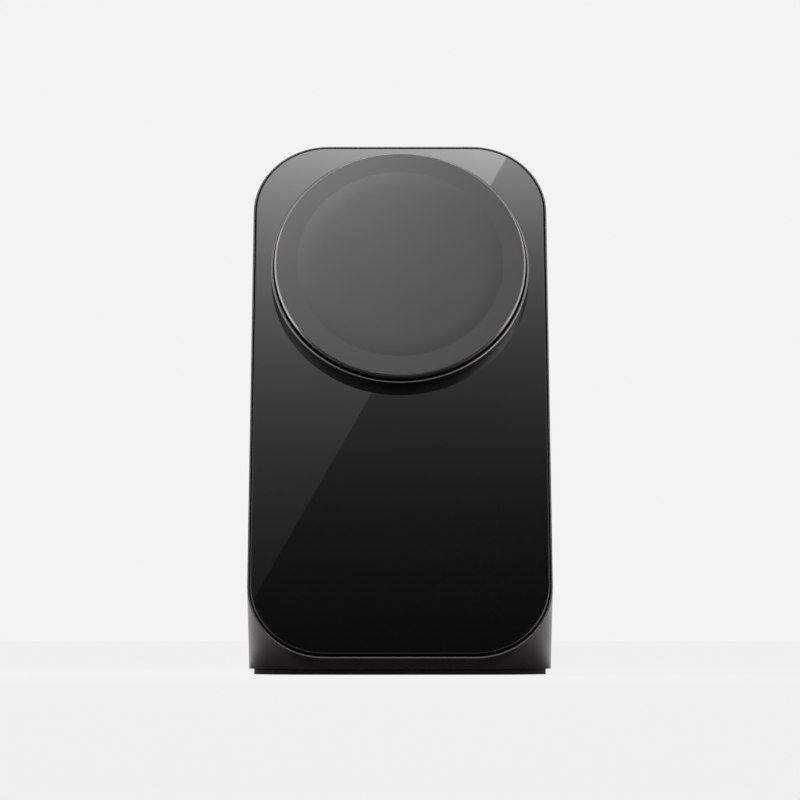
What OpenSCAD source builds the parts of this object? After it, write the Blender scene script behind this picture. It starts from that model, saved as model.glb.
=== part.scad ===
// Wireless charging stand for a phone.
// A leaning cast housing carries a black glass panel and a raised magnetic charging pad.
// The board, its USB-C socket and a ballast block sit in the base, over a steel plate and a rubber foot.
// X is the width, Y runs from front to back, Z is up, and the origin is the middle of the footprint on the desk.

/* [Housing] */
// Width of the stand
panel_w = 65; // [60:0.5:74]
// Length of the front panel along its slope
panel_h = 123; // [112:1:135]
// Angle that the front panel leans back from upright
lean = 22; // [19:0.5:25]
// Radius of the panel's corners
corner_r = 16.5; // [14:0.5:18]
// Radius of the base's corners, seen from above
base_corner_r = 18.5; // [16:0.5:20]
// Thickness of the housing behind the panel
panel_t = 9.5; // [8.5:0.5:11]
// Height of the panel's lower edge above the desk
toe_h = 3.5; // [3:0.25:5]
// How far the sole's front edge is set back from the panel's lower edge
sole_setback = 0.6; // [0:0.1:1.6]
// Depth of the base from the panel's lower edge to the rear face
base_d = 76; // [72:1:86]
// Height of the base at the rear
base_h = 15.5; // [15:0.5:18]
// Radius of the sweep from the base up the back of the panel
sweep_r = 24; // [16:1:28]
// Radius of the soft edge round the back of the panel and the top of the base
edge_r = 2.5; // [1:0.25:3.5]
// Thickness of the base's outer wall
wall = 3.5; // [3.5:0.25:4.5]
// Thickness of the roof over the base's cavity
roof_t = 3; // [2:0.25:3.5]

/* [Glass] */
// Width of the metal rim round the glass
rim_w = 0.5; // [0.4:0.1:1.2]
// Gap between the rim and the glass
glass_gap = 0.25; // [0.15:0.05:0.4]
// Thickness of the glass
glass_t = 2; // [1.6:0.1:2.4]
// How far the glass stands out from the rim
glass_proud = 0.4; // [0.2:0.05:0.8]
// Bevel on the glass's front edge
glass_bevel = 0.35; // [0.2:0.05:0.5]
// Thickness of the mounting tape behind the glass
tape_t = 0.15; // [0.1:0.05:0.3]
// Width of the mounting tape left clear along the glass's edge
tape_margin = 1.5; // [1:0.25:3]

/* [Charging pad] */
// Distance from the panel's upper edge down to the pad's centre
pad_drop = 32; // [31:0.5:38]
// Diameter of the pad's metal case
case_d = 56.8; // [54.5:0.2:59]
// Height of the case above the glass
case_h = 3.2; // [2.8:0.1:4]
// Bevel on the case's front edge
case_bevel = 0.35; // [0.2:0.05:0.45]
// Radial gap between the case and the trim ring
ring_gap = 0.2; // [0.15:0.05:0.3]
// Thickness of the case's rim beside the gap
case_lip = 0.55; // [0.5:0.05:0.8]
// Radial width of the polished trim ring
ring_w = 0.45; // [0.35:0.05:0.7]
// Height of the pad's face above the glass
face_h = 4.9; // [4.6:0.1:5.6]
// Thickness of the soft pad
soft_t = 0.8; // [0.6:0.1:1]
// Diameter of the shallow crown in the middle of the pad
crown_d = 45.4; // [40:0.2:48]
// Height of the crown
crown_h = 0.18; // [0.1:0.02:0.3]
// Width of the crown's sloping shoulder
crown_slope = 5; // [3:0.5:7]

/* [Inside the pad] */
// Diameter of the hole through the glass for the pad's case
glass_hole_d = 50; // [46:0.5:52]
// How far the case's spigot sinks into the housing behind the glass
spigot_sink = 2.2; // [1.8:0.1:3]
// Thickness of the case's floor
case_floor = 0.8; // [0.6:0.1:1]
// Thickness of the shield plate
shield_t = 0.3; // [0.2:0.05:0.4]
// Thickness of the ferrite plate
ferrite_t = 0.6; // [0.4:0.1:0.8]
// Number of magnets round the coil
magnet_count = 16; // [12:1:20]
// Radial width of each magnet
magnet_w = 3.8; // [3:0.2:4.4]
// Gap between neighbouring magnets in degrees
magnet_gap = 2.5; // [1.5:0.5:4]
// Number of turns in the charging coil
coil_turns = 10; // [8:1:11]
// Pitch between the coil's turns
coil_pitch = 1.1; // [0.9:0.05:1.15]
// Gap left between neighbouring turns
coil_gap = 0.15; // [0.1:0.05:0.25]
// Diameter of the pad's circuit board
pad_board_d = 38; // [32:1:38]
// Thickness of the pad's circuit board
pad_board_t = 0.8; // [0.6:0.1:1]

/* [Base] */
// Thickness of the rubber foot
foot_t = 1.2; // [1:0.1:1.6]
// How far the foot is set in from the housing's edge
foot_inset = 1.1; // [0.8:0.1:1.8]
// Thickness of the steel base plate
plate_t = 1.5; // [1.2:0.1:2]
// How far the base plate is set in from the housing's edge
plate_inset = 2; // [1.9:0.1:2.6]
// Length of the ballast block from side to side
ballast_w = 40; // [30:1:42]
// Depth of the ballast block from front to back
ballast_d = 18; // [12:1:20]
// Height of the ballast block
ballast_h = 5; // [4:0.5:5.5]

/* [Board and port] */
// Width of the main board
board_w = 46; // [42:1:47]
// Depth of the main board
board_d = 28; // [25:1:29]
// Thickness of the main board
board_t = 1.2; // [1:0.1:1.6]
// Height of the main board's upper face above the desk
board_z = 6; // [5.8:0.1:6.2]
// Width of the socket's shell
port_w = 8.94; // [8.8:0.02:9.1]
// Height of the socket's shell
port_h = 3.26; // [3.1:0.02:3.4]
// Length of the socket's shell
port_l = 7.4; // [6.5:0.1:8.5]
// Distance from the rear face in to the socket's mouth
port_depth = 0.4; // [0.2:0.1:0.8]
// Bevel round the socket's hole in the rear face
port_bevel = 0.6; // [0.4:0.1:1]

/* [Hidden] */
$fn = 96;

// Finishes
gunmetal = "#33312f";
black_glass = "#0c0c0d";
soft_black = "#3a3a3a";
bright_steel = "#b9bcc0";
zinc_steel = "#8f949a";
copper = "#b8733a";
board_green = "#1d4a33";
chip_black = "#1a1a1c";
ferrite_grey = "#4b4d50";
rubber_black = "#161616";
amber_film = "#a8652a";
nylon = "#d8d4c8";
carrier_black = "#18181a";

// Clearance between a piece and the pocket that it drops into
fit = 0.15;
// Overlap that lets a cut run cleanly past the face it opens
past = 1;
// Thickness of the two outlines that the housing's lower half is stretched between
skin = 0.02;

// Places that the driving sizes settle
toe_y = -base_d / 2;
rear_y = base_d / 2;
sole_front = toe_y + sole_setback;
sole_d = rear_y - sole_front;
pad_u = panel_h - pad_drop;
recess_floor = glass_proud - glass_t - tape_t;
glass_face = glass_proud;
toe_gap = 1;
cavity_front = toe_y + panel_t + toe_gap;
cavity_top = base_h - roof_t;
plate_top = foot_t + plate_t;

// Stack inside the pad, measured outwards along the panel's normal
case_top = glass_face + case_h;
face_n = glass_face + face_h;
carrier_top = face_n - soft_t;
case_ledge = glass_face + case_floor;
shield_top = case_ledge + shield_t;
ferrite_top = shield_top + ferrite_t;
carrier_t = 0.8;
magnet_top = carrier_top - carrier_t;
groove_deep = 0.5;
groove_floor = case_top - groove_deep;
flange_t = 0.8;
spigot_floor = recess_floor - spigot_sink;
pad_board_lift = 0.8;
pad_board_n = spigot_floor + case_floor + pad_board_lift;
pad_board_top = pad_board_n + pad_board_t;

// Rings inside the pad, measured out from its axis
case_inner_r = case_d / 2 - case_lip;
ring_r = case_inner_r - ring_gap;
face_r = ring_r - ring_w;
carrier_wall = 0.7;
magnet_gap_out = 0.1;
magnet_gap_in = 0.2;
magnet_outer_r = face_r - carrier_wall - magnet_gap_out;
magnet_inner_r = magnet_outer_r - magnet_w;
ferrite_r = magnet_inner_r - magnet_gap_in;
coil_inset = 0.4;
coil_r = ferrite_r - coil_inset;
spigot_r = glass_hole_d / 2 - fit;
spigot_wall = 1;

// Posts under the pad's board, at angles that keep clear of the cable's slot
pad_post_r = 1.5;
pad_post_in = 4;
pad_post_angles = [30, 150, 235, 305];

// Small fasteners, the free run past each tip, and the gaps round shank and head
screw_r = 1;
screw_head_r = 1.9;
screw_head_h = 1;
socket_d = 1.5;
tip_gap = 1.2;
shank_gap = 0.2;
head_gap = 0.2;
thread_gap = 0.05;
pilot_r = screw_r + thread_gap;
clear_r = screw_r + shank_gap;
pad_screw_head_r = 1.7;
pad_screw_l = 3.5;
pad_screw_in = 3.2;
pad_screw_ring = spigot_r - pad_screw_in;
board_screw_l = 4;
ballast_screw_l = 3.2;
plate_screw_l = 6;

// A point in the side view, from its distance up the panel and its distance out of the panel
function on_slope(u, n) = [toe_y + u * sin(lean) - n * cos(lean), toe_h + u * cos(lean) + n * sin(lean)];

// Where the back of the panel meets the base's top, and where the sweep leaves each of them
sweep_run = sweep_r / tan(45 - lean / 2);
back_foot_u = (base_h - toe_h + panel_t * sin(lean)) / cos(lean);
back_foot = on_slope(back_foot_u, -panel_t);
sweep_low = [back_foot[0] + sweep_run, base_h];
sweep_u = back_foot_u + sweep_run;
sweep_centre = [sweep_low[0], base_h + sweep_r];
slab_lap = 8;
loft_lap = 12;
slab_u = sweep_u - slab_lap;
loft_u = sweep_u + loft_lap;

// How the housing's blocks join: depth of the toe's core under the outer faces, step from the panel's
// face down to the toe's, and the small lap and bite that let the sweep cross each face cleanly
core_in = 0.5;
rim_step = 0.02;
blend_lap = 0.2;
blend_bite = 0.01;

// Cable channel, from the pad down the panel and through its foot into the base's cavity
channel_w = 8;
channel_deep = 1.2;
channel_floor = spigot_floor - channel_deep;
duct_h = 5;
duct_low = cavity_top - duct_h;
duct_u = (duct_low - toe_h - channel_floor * sin(lean)) / cos(lean);
cable_w = 5;
cable_t = 0.4;
cable_rise = 0.6;
cable_bend = 1;
cable_drop = 2.5;
cable_run = 6;
slot_in = 2;
slot_u = pad_u - pad_board_d / 2 + slot_in;
slot_l = 5;
plug_gap = 0.5;
tape_clear = 2;

// Main board and what is mounted on it
board_gap = 0.8;
board_rear = rear_y - wall - board_gap;
board_front = board_rear - board_d;
post_r = 2.2;
post_in = 3;
post_rear_in = 12;
post_x = board_w / 2 - post_in;
post_front = board_front + post_in;
post_rear = board_rear - post_rear_in;
connector_lip = 0.6;
connector_w = cable_w + 2 * connector_lip;
connector_d = 3.2;
connector_h = 2.2;
connector_in = 1;
connector_y = board_front + connector_in + connector_d / 2;
pad_connector_d = 3;
pad_connector_h = 1.6;

// Socket: walls of the shell, and the tongue in it
port_mid = board_z + port_h / 2;
port_mouth = rear_y - port_depth;
port_wall = 0.3;
port_back = 1;
tongue_w = 6.7;
tongue_t = 0.7;
tongue_root = 1.2;
tongue_short = 0.8;

// Parts on the main board: sizes, distances from its middle line, and rows behind its front edge
controller_w = 6;
controller_h = 0.9;
driver_w = 4;
driver_h = 0.8;
driver_x = 10;
inductor_w = 5;
inductor_h = 3.2;
inductor_notch = 0.8;
inductor_x = 11;
can_r = 2;
can_h = 4.4;
can_x = 5.5;
ceramic_w = 1.6;
ceramic_d = 2.6;
ceramic_h = 1.4;
ceramic_x = 14;
ceramic_pitch = 3;
row_gap = 3.8;
row_step = 4.5;
front_row = connector_y + connector_d / 2 + row_gap;
rear_row = front_row + controller_w + row_step;

// Parts on the pad's board: sizes, and places from its middle
pad_chip_w = 5;
pad_chip_h = 0.9;
sensor_w = 3;
sensor_d = 4;
sensor_h = 0.8;
chip_side = 1;
chip_rise = 2;
sensor_side = 3;
small_w = 1.6;
small_d = 0.8;
small_h = 0.8;
small_count = 6;
small_pitch = 3;
small_drop = 3;

// Screws through the base plate
boss_r = 3;
boss_lap = 0.5;
boss_in = wall + boss_r - boss_lap;
plate_screw_front = [panel_w / 2 - boss_in, sole_front + base_corner_r];
plate_screw_rear = [panel_w / 2 - base_corner_r, rear_y - base_corner_r]
    + (base_corner_r - boss_in) * [cos(45), sin(45)];

// Ballast block
ballast_gap = 3;
ballast_screw_in = 5;
ballast_front = cavity_front + ballast_gap;
ballast_screw_x = ballast_w / 2 - ballast_screw_in;
ballast_y = ballast_front + ballast_d / 2;

// Rectangle with round corners, its lower edge on the X axis
module rounded_rect(w, h, r) {
    translate([-w / 2 + r, 0]) square([w - 2 * r, h]);
    translate([-w / 2, r]) square([w, h - 2 * r]);
    for (x = [-1, 1], y = [r, h - r]) translate([x * (w / 2 - r), y]) circle(r = r);
}

// Slot with round ends, centred
module stadium(w, h) {
    square([w - h, h], center = true);
    for (x = [-1, 1]) translate([x * (w - h) / 2, 0]) circle(d = h);
}

// Places children on the panel: X across it, Y up its slope, Z out of its face
module on_panel(u = 0, n = 0) {
    translate([0, toe_y, toe_h]) rotate([90 - lean, 0, 0]) translate([0, u, n]) children();
}

// Side view, drawn with X as depth and Y as height, stretched across the width
module across(w) {
    translate([-w / 2, 0, 0]) rotate([90, 0, 90]) linear_extrude(w) children();
}

// Outline of the front panel, set in from the housing's edge
module panel_outline(inset) {
    translate([0, inset]) rounded_rect(panel_w - 2 * inset, panel_h - 2 * inset, corner_r - inset);
}

// Outline of the housing where it meets the foot, set in from its edge
module sole_outline(inset) {
    translate([0, sole_front + inset])
        rounded_rect(panel_w - 2 * inset, sole_d - 2 * inset, base_corner_r - inset);
}

// Screw with a hex socket, its head's underside at the origin and its shank pointing down
module screw(length, head_r = screw_head_r) {
    difference() {
        cylinder(r = head_r, h = screw_head_h);
        translate([0, 0, screw_head_h / 2]) cylinder(d = socket_d, h = screw_head_h, $fn = 6);
    }
    translate([0, 0, -length]) cylinder(r = screw_r, h = length);
}

// Pilot hole for a screw whose head's underside is at the origin and whose shank points up
module pilot(length) {
    cylinder(r = pilot_r, h = length + tip_gap);
}

// Places children at the base plate's four screws
module at_plate_screws(z) {
    for (x = [-1, 1], place = [plate_screw_front, plate_screw_rear])
        translate([x * place[0], place[1], z]) children();
}

// Places children at the main board's four screws
module at_board_screws(z) {
    for (x = [-1, 1], y = [post_front, post_rear]) translate([x * post_x, y, z]) children();
}

// Places children at the ballast block's two screws
module at_ballast_screws(z) {
    for (x = [-1, 1]) translate([x * ballast_screw_x, ballast_y, z]) children();
}

// Places children at the pad's three screws
module at_pad_screws(n) {
    on_panel(pad_u, n) for (a = [90, 210, 330]) rotate(a) translate([pad_screw_ring, 0, 0]) children();
}

// What a soft edge takes off a square one: the edge is at the origin, with the solid towards -X and -Y
module edge_bite() {
    difference() {
        translate([-edge_r, -edge_r]) square(edge_r + past);
        translate([-edge_r, -edge_r]) circle(r = edge_r);
    }
}

// Soft edge round the free end of a slab that is W wide with corners of radius R, from Y = start to Y = end
module edge_run(w, r, start, end) {
    for (side = [0, 1]) mirror([side, 0, 0]) {
        translate([w / 2, end - r, 0]) rotate([90, 0, 0]) linear_extrude(end - r - start) edge_bite();
        translate([w / 2 - r, end - r, 0]) rotate_extrude(angle = 90) translate([r, 0]) edge_bite();
    }
    translate([-w / 2 + r, end, 0]) rotate([90, 0, 90]) linear_extrude(w - 2 * r) edge_bite();
}

// Soft edge round the top of the base
module base_edge() {
    translate([0, 0, base_h]) edge_run(panel_w, base_corner_r, sweep_low[0] - blend_lap, rear_y);
}

// Soft edge round the back of the panel
module panel_edge() {
    on_panel(0, -panel_t) mirror([0, 0, 1]) edge_run(panel_w, corner_r, sweep_u - blend_lap, panel_h);
}

// Sweep between the base and the back of the panel, flared at both ends into the soft edges
module sweep_cut() {
    r = sweep_r + blend_bite;
    translate([0, sweep_centre[0], sweep_centre[1]]) rotate([90, 0, 90]) rotate_extrude() {
        translate([0, -panel_w]) square([r, 2 * panel_w]);
        for (side = [0, 1]) mirror([0, side]) difference() {
            translate([0, panel_w / 2 - edge_r]) square([r + edge_r, edge_r + past]);
            translate([r + edge_r, panel_w / 2 - edge_r]) circle(r = edge_r);
        }
    }
}

// Foot of the panel: its outline stretched down to the sole, and cut off short of the sweep
module toe_loft() {
    intersection() {
        hull($fn = 72) {
            on_panel(0, -rim_step - skin) linear_extrude(skin) intersection() {
                panel_outline(0);
                translate([-panel_w, -past]) square([2 * panel_w, loft_u + past]);
            }
            translate([0, 0, foot_t]) linear_extrude(skin) sole_outline(0);
        }
        across(panel_w + 2 * past) polygon([
            on_slope(loft_u, past), [toe_y - past, foot_t], [rear_y, foot_t], [rear_y, base_h - core_in],
            [sweep_low[0], base_h - core_in], on_slope(sweep_u, core_in - panel_t),
            on_slope(loft_u, core_in - panel_t)
        ]);
    }
}

// Panel above the toe: a flat slab
module panel_slab() {
    on_panel(0, -panel_t) linear_extrude(panel_t) intersection() {
        panel_outline(0);
        translate([-panel_w, slab_u]) square([2 * panel_w, panel_h]);
    }
}

// Base behind the toe, upright all round
module base_block() {
    translate([0, 0, foot_t]) linear_extrude(base_h - foot_t) intersection() {
        sole_outline(0);
        translate([-panel_w, sole_front + base_corner_r + past]) square([2 * panel_w, base_d]);
    }
}

// Cavity in the base, open to the sole
module cavity() {
    difference() {
        translate([0, 0, foot_t - past]) linear_extrude(cavity_top - foot_t + past) intersection() {
            sole_outline(wall);
            translate([-panel_w, cavity_front]) square([2 * panel_w, base_d]);
        }
        at_plate_screws(plate_top) cylinder(r = boss_r, h = base_h - plate_top);
        at_board_screws(board_z) cylinder(r = post_r, h = base_h - board_z);
    }
}

// Channel down the panel, and window through its foot, for the pad's cable
module cable_way() {
    on_panel(duct_u, channel_floor)
        translate([-channel_w / 2, 0, 0]) cube([channel_w, slot_u + slot_l - duct_u, glass_t - channel_floor]);
    window_y = on_slope(duct_u, channel_floor)[0];
    translate([-channel_w / 2, window_y - past, duct_low])
        cube([channel_w, cavity_front + 2 * past - window_y, cavity_top - duct_low]);
}

// Bevelled hole for the socket in the rear face
module port_cut() {
    w = port_w + 2 * fit;
    h = port_h + 2 * fit;
    flare = port_bevel + past;
    translate([0, rear_y, port_mid]) rotate([90, 0, 0]) translate([0, 0, -past]) {
        linear_extrude(wall + 2 * past) stadium(w, h);
        for (x = [-1, 1]) translate([x * (w - h) / 2, 0, 0])
            cylinder(r1 = h / 2 + flare, r2 = h / 2, h = flare);
        translate([(h - w) / 2, 0, 0]) rotate([90, 0, 90]) linear_extrude(w - h)
            polygon([[-h / 2 - flare, 0], [h / 2 + flare, 0], [h / 2, flare], [-h / 2, flare]]);
    }
}

module housing() {
    color(gunmetal) difference() {
        union() {
            toe_loft();
            panel_slab();
            base_block();
        }
        sweep_cut();
        base_edge();
        panel_edge();
        on_panel(0, recess_floor) linear_extrude(glass_t + tape_t + past) panel_outline(rim_w);
        cavity();
        cable_way();
        port_cut();
        translate([0, 0, foot_t - past]) linear_extrude(plate_t + past) sole_outline(plate_inset);
        at_plate_screws(foot_t + screw_head_h) pilot(plate_screw_l);
        at_board_screws(board_z - board_t) pilot(board_screw_l);
        on_panel(pad_u, spigot_floor) cylinder(r = spigot_r + fit, h = spigot_sink + past);
        at_pad_screws(spigot_floor + case_floor) mirror([0, 0, 1]) pilot(pad_screw_l);
    }
}

// Glass with a bevelled front edge and a hole for the pad's case
module front_glass() {
    edge = rim_w + glass_gap;
    w = panel_w - 2 * edge;
    h = panel_h - 2 * edge;
    r = corner_r - edge;
    color(black_glass) on_panel(edge, glass_face - glass_t) difference() {
        union() {
            linear_extrude(glass_t - glass_bevel) rounded_rect(w, h, r);
            hull($fn = 72) {
                translate([0, 0, glass_t - glass_bevel - skin]) linear_extrude(skin) rounded_rect(w, h, r);
                translate([0, glass_bevel, glass_t - skin]) linear_extrude(skin)
                    rounded_rect(w - 2 * glass_bevel, h - 2 * glass_bevel, r - glass_bevel);
            }
        }
        translate([0, pad_u - edge, -past]) cylinder(d = glass_hole_d, h = glass_t + 2 * past);
    }
}

module glass_tape() {
    color(chip_black) on_panel(0, recess_floor) linear_extrude(tape_t) difference() {
        panel_outline(rim_w + glass_gap + tape_margin);
        translate([0, pad_u]) circle(d = glass_hole_d);
        translate([-channel_w / 2, duct_u - tape_clear]) square([channel_w, pad_u - duct_u]);
    }
}

// Cup that holds the coil: a spigot through the glass and a bevelled flange over it
module pad_case() {
    r = case_d / 2;
    color(gunmetal) difference() {
        on_panel(pad_u) rotate_extrude() polygon([
            [0, spigot_floor], [spigot_r, spigot_floor], [spigot_r, glass_face], [r, glass_face],
            [r, case_top - case_bevel], [r - case_bevel, case_top], [case_inner_r, case_top],
            [case_inner_r, case_ledge], [spigot_r - spigot_wall, case_ledge],
            [spigot_r - spigot_wall, spigot_floor + case_floor], [0, spigot_floor + case_floor]
        ]);
        at_pad_screws(spigot_floor - past) cylinder(r = clear_r, h = case_floor + 2 * past);
        on_panel(slot_u, spigot_floor - past) translate([-channel_w / 2, 0, 0])
            cube([channel_w, slot_l, case_floor + 2 * past]);
    }
    color(gunmetal) on_panel(pad_u, spigot_floor + case_floor)
        for (a = pad_post_angles) rotate(a) translate([pad_board_d / 2 - pad_post_in, 0, 0])
            cylinder(r = pad_post_r, h = pad_board_lift);
}

module trim_ring() {
    color(bright_steel) on_panel(pad_u) rotate_extrude() polygon([
        [face_r, groove_floor], [ring_r, groove_floor], [ring_r, face_n - ring_w], [face_r, face_n]
    ]);
}

module soft_pad() {
    color(soft_black) on_panel(pad_u) rotate_extrude() polygon([
        [0, carrier_top], [face_r, carrier_top], [face_r, face_n], [crown_d / 2, face_n],
        [crown_d / 2 - crown_slope, face_n + crown_h], [0, face_n + crown_h]
    ]);
}

// Cap over the coil and magnets: its flange fits inside the case and carries the trim ring
module pad_carrier() {
    inner_r = face_r - carrier_wall;
    color(carrier_black) on_panel(pad_u) rotate_extrude() polygon([
        [0, magnet_top], [inner_r, magnet_top], [inner_r, groove_floor - flange_t],
        [case_inner_r, groove_floor - flange_t], [case_inner_r, groove_floor], [face_r, groove_floor],
        [face_r, carrier_top], [0, carrier_top]
    ]);
}

// Flat spiral drawn as half turns about two centres, a quarter of a pitch either side of the middle
module charging_coil() {
    half_w = (coil_pitch - coil_gap) / 2;
    color(copper) on_panel(pad_u, ferrite_top) linear_extrude(magnet_top - ferrite_top)
        for (k = [0 : 2 * coil_turns - 1]) {
            side = k % 2 == 0 ? 1 : -1;
            mid_r = coil_r - coil_pitch / 2 - k * coil_pitch / 2;
            translate([side * coil_pitch / 4, 0]) intersection() {
                difference() {
                    circle(r = mid_r + half_w);
                    circle(r = mid_r - half_w);
                }
                translate([-case_d, side > 0 ? 0 : -case_d]) square([2 * case_d, case_d]);
            }
        }
}

module magnet_ring() {
    step = 360 / magnet_count;
    color(zinc_steel) on_panel(pad_u, shield_top)
        for (k = [0 : magnet_count - 1]) rotate(k * step)
            rotate_extrude(angle = step - magnet_gap)
                translate([magnet_inner_r, 0]) square([magnet_w, magnet_top - shield_top]);
}

module ferrite_plate() {
    color(ferrite_grey) on_panel(pad_u, shield_top)
        cylinder(r = ferrite_r, h = ferrite_t);
}

module shield_plate() {
    color(bright_steel) on_panel(pad_u, case_ledge) cylinder(r = case_inner_r - fit, h = shield_t);
}

// Round board with a slot for the cable, kept clear of the pad's screws
module pad_board() {
    color(board_green) difference() {
        on_panel(pad_u, pad_board_n) linear_extrude(pad_board_t) difference() {
            circle(d = pad_board_d);
            translate([-channel_w / 2, -pad_board_d / 2 - past]) square([channel_w, slot_l + slot_in + past]);
        }
        at_pad_screws(pad_board_n - past)
            cylinder(r = pad_screw_head_r + head_gap, h = pad_board_t + 2 * past);
    }
}

module pad_chips() {
    color(chip_black) on_panel(pad_u, pad_board_top) {
        translate([-chip_side - pad_chip_w, chip_rise, 0]) cube([pad_chip_w, pad_chip_w, pad_chip_h]);
        translate([sensor_side, 2 * chip_rise, 0]) cube([sensor_w, sensor_d, sensor_h]);
        for (k = [0 : small_count - 1])
            translate([(k - (small_count - 1) / 2) * small_pitch - small_w / 2, -small_drop, 0])
                cube([small_w, small_d, small_h]);
    }
}

// Connector on the pad's board, its mouth over the notch that the cable comes up through
module pad_connector() {
    color(nylon) on_panel(slot_u + slot_l + plug_gap, pad_board_top)
        translate([-connector_w / 2, 0, 0]) cube([connector_w, pad_connector_d, pad_connector_h]);
}

module pad_screws() {
    color(bright_steel) at_pad_screws(spigot_floor + case_floor) screw(pad_screw_l, pad_screw_head_r);
}

// Ribbon from the pad's board, down the channel and through the window to the main board
module flex_cable() {
    b = cable_bend;
    high_n = pad_board_top + pad_connector_h / 2;
    high_u = slot_u + slot_l + plug_gap;
    drop_u = slot_u + slot_l / 2;
    low_n = channel_floor + cable_rise;
    low_z = cavity_top - cable_drop;
    turn_u = (low_z - toe_h - low_n * sin(lean)) / cos(lean);
    end_y = connector_y - connector_d / 2;
    end_z = board_z + connector_h / 2;
    color(amber_film) across(cable_w) ribbon([
        on_slope(high_u, high_n), on_slope(drop_u + b, high_n), on_slope(drop_u, high_n - b),
        on_slope(drop_u, low_n + b), on_slope(drop_u - b, low_n), on_slope(turn_u + 2 * b, low_n),
        on_slope(turn_u, low_n) + [b, 0], [cavity_front + cable_run, low_z], [end_y - cable_run, low_z],
        [end_y - 2 * b, end_z], [end_y, end_z]
    ], cable_t);
}

// Strip of even thickness along a path in the side view
module ribbon(path, t) {
    last = len(path) - 1;
    function along(i) = let(d = path[min(i + 1, last)] - path[max(i - 1, 0)]) d / norm(d);
    function side(i, s) = path[i] + s * t / 2 * [-along(i)[1], along(i)[0]];
    polygon([
        for (i = [0 : last]) side(i, 1),
        for (i = [last : -1 : 0]) side(i, -1)
    ]);
}

module main_board() {
    color(board_green) translate([0, 0, board_z - board_t]) difference() {
        linear_extrude(board_t) intersection() {
            sole_outline(wall + board_gap);
            translate([-board_w / 2, board_front]) square([board_w, board_d]);
        }
        at_board_screws(-past) cylinder(r = clear_r, h = board_t + 2 * past);
        at_plate_screws(-past) cylinder(r = boss_r + board_gap, h = board_t + 2 * past);
    }
}

module board_connector() {
    color(nylon) translate([-connector_w / 2, connector_y - connector_d / 2, board_z])
        cube([connector_w, connector_d, connector_h]);
}

module inductors() {
    color(ferrite_grey) for (x = [-1, 1])
        translate([x * inductor_x - inductor_w / 2, front_row, board_z]) linear_extrude(inductor_h)
            difference() {
                square(inductor_w);
                for (a = [0, inductor_w], b = [0, inductor_w]) translate([a, b]) circle(r = inductor_notch);
            }
}

module capacitors() {
    color(amber_film) for (side = [-1, 1], k = [0, 1])
        translate([side * (ceramic_x + k * ceramic_pitch) - ceramic_w / 2, rear_row - ceramic_d, board_z])
            cube([ceramic_w, ceramic_d, ceramic_h]);
    color(bright_steel) for (x = [-1, 1])
        translate([x * can_x, rear_row - can_r, board_z]) cylinder(r = can_r, h = can_h);
}

module controller_chips() {
    color(chip_black) {
        translate([-controller_w / 2, front_row, board_z]) cube([controller_w, controller_w, controller_h]);
        for (x = [-1, 1]) translate([x * driver_x - driver_w / 2, rear_row - driver_w / 2, board_z])
            cube([driver_w, driver_w, driver_h]);
    }
}

module usb_shell() {
    color(bright_steel) translate([0, port_mouth, port_mid]) rotate([90, 0, 0]) difference() {
        linear_extrude(port_l) stadium(port_w, port_h);
        translate([0, 0, -past]) linear_extrude(port_l - port_back + past)
            stadium(port_w - 2 * port_wall, port_h - 2 * port_wall);
    }
}

module usb_tongue() {
    deep = port_l - port_back;
    color(chip_black) translate([0, port_mouth - deep, port_mid]) rotate([-90, 0, 0]) union() {
        linear_extrude(tongue_root) stadium(port_w - 2 * port_wall, port_h - 2 * port_wall);
        linear_extrude(deep - tongue_short) square([tongue_w, tongue_t], center = true);
    }
}

module board_screws() {
    color(bright_steel) at_board_screws(board_z - board_t) mirror([0, 0, 1]) screw(board_screw_l);
}

module ballast_block() {
    color(zinc_steel) difference() {
        translate([-ballast_w / 2, ballast_front, plate_top]) cube([ballast_w, ballast_d, ballast_h]);
        at_ballast_screws(foot_t + screw_head_h) pilot(ballast_screw_l);
    }
}

module ballast_screws() {
    color(bright_steel) at_ballast_screws(foot_t + screw_head_h) mirror([0, 0, 1]) screw(ballast_screw_l);
}

module base_plate() {
    color(zinc_steel) difference() {
        translate([0, 0, foot_t]) linear_extrude(plate_t) sole_outline(plate_inset + fit);
        at_plate_screws(foot_t) plate_screw_hole();
        at_ballast_screws(foot_t) plate_screw_hole();
    }
}

// Counterbored hole in the base plate that hides a screw's head
module plate_screw_hole() {
    translate([0, 0, -past]) cylinder(r = screw_head_r + head_gap, h = screw_head_h + past);
    cylinder(r = clear_r, h = plate_t + past);
}

module plate_screws() {
    color(bright_steel) at_plate_screws(foot_t + screw_head_h) mirror([0, 0, 1]) screw(plate_screw_l);
}

module foot_pad() {
    color(rubber_black) linear_extrude(foot_t) sole_outline(foot_inset);
}

housing();
front_glass();
glass_tape();
pad_case();
trim_ring();
soft_pad();
pad_carrier();
charging_coil();
ferrite_plate();
shield_plate();
magnet_ring();
pad_board();
pad_chips();
pad_connector();
pad_screws();
flex_cable();
main_board();
board_connector();
inductors();
capacitors();
controller_chips();
usb_shell();
usb_tongue();
board_screws();
ballast_block();
ballast_screws();
base_plate();
plate_screws();
foot_pad();
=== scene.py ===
"""Dresses the wireless charging stand: finishes, fine edges, a pale studio and the photograph's camera."""
import math

import bmesh
import bpy
from mathutils import Matrix, Vector


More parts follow.
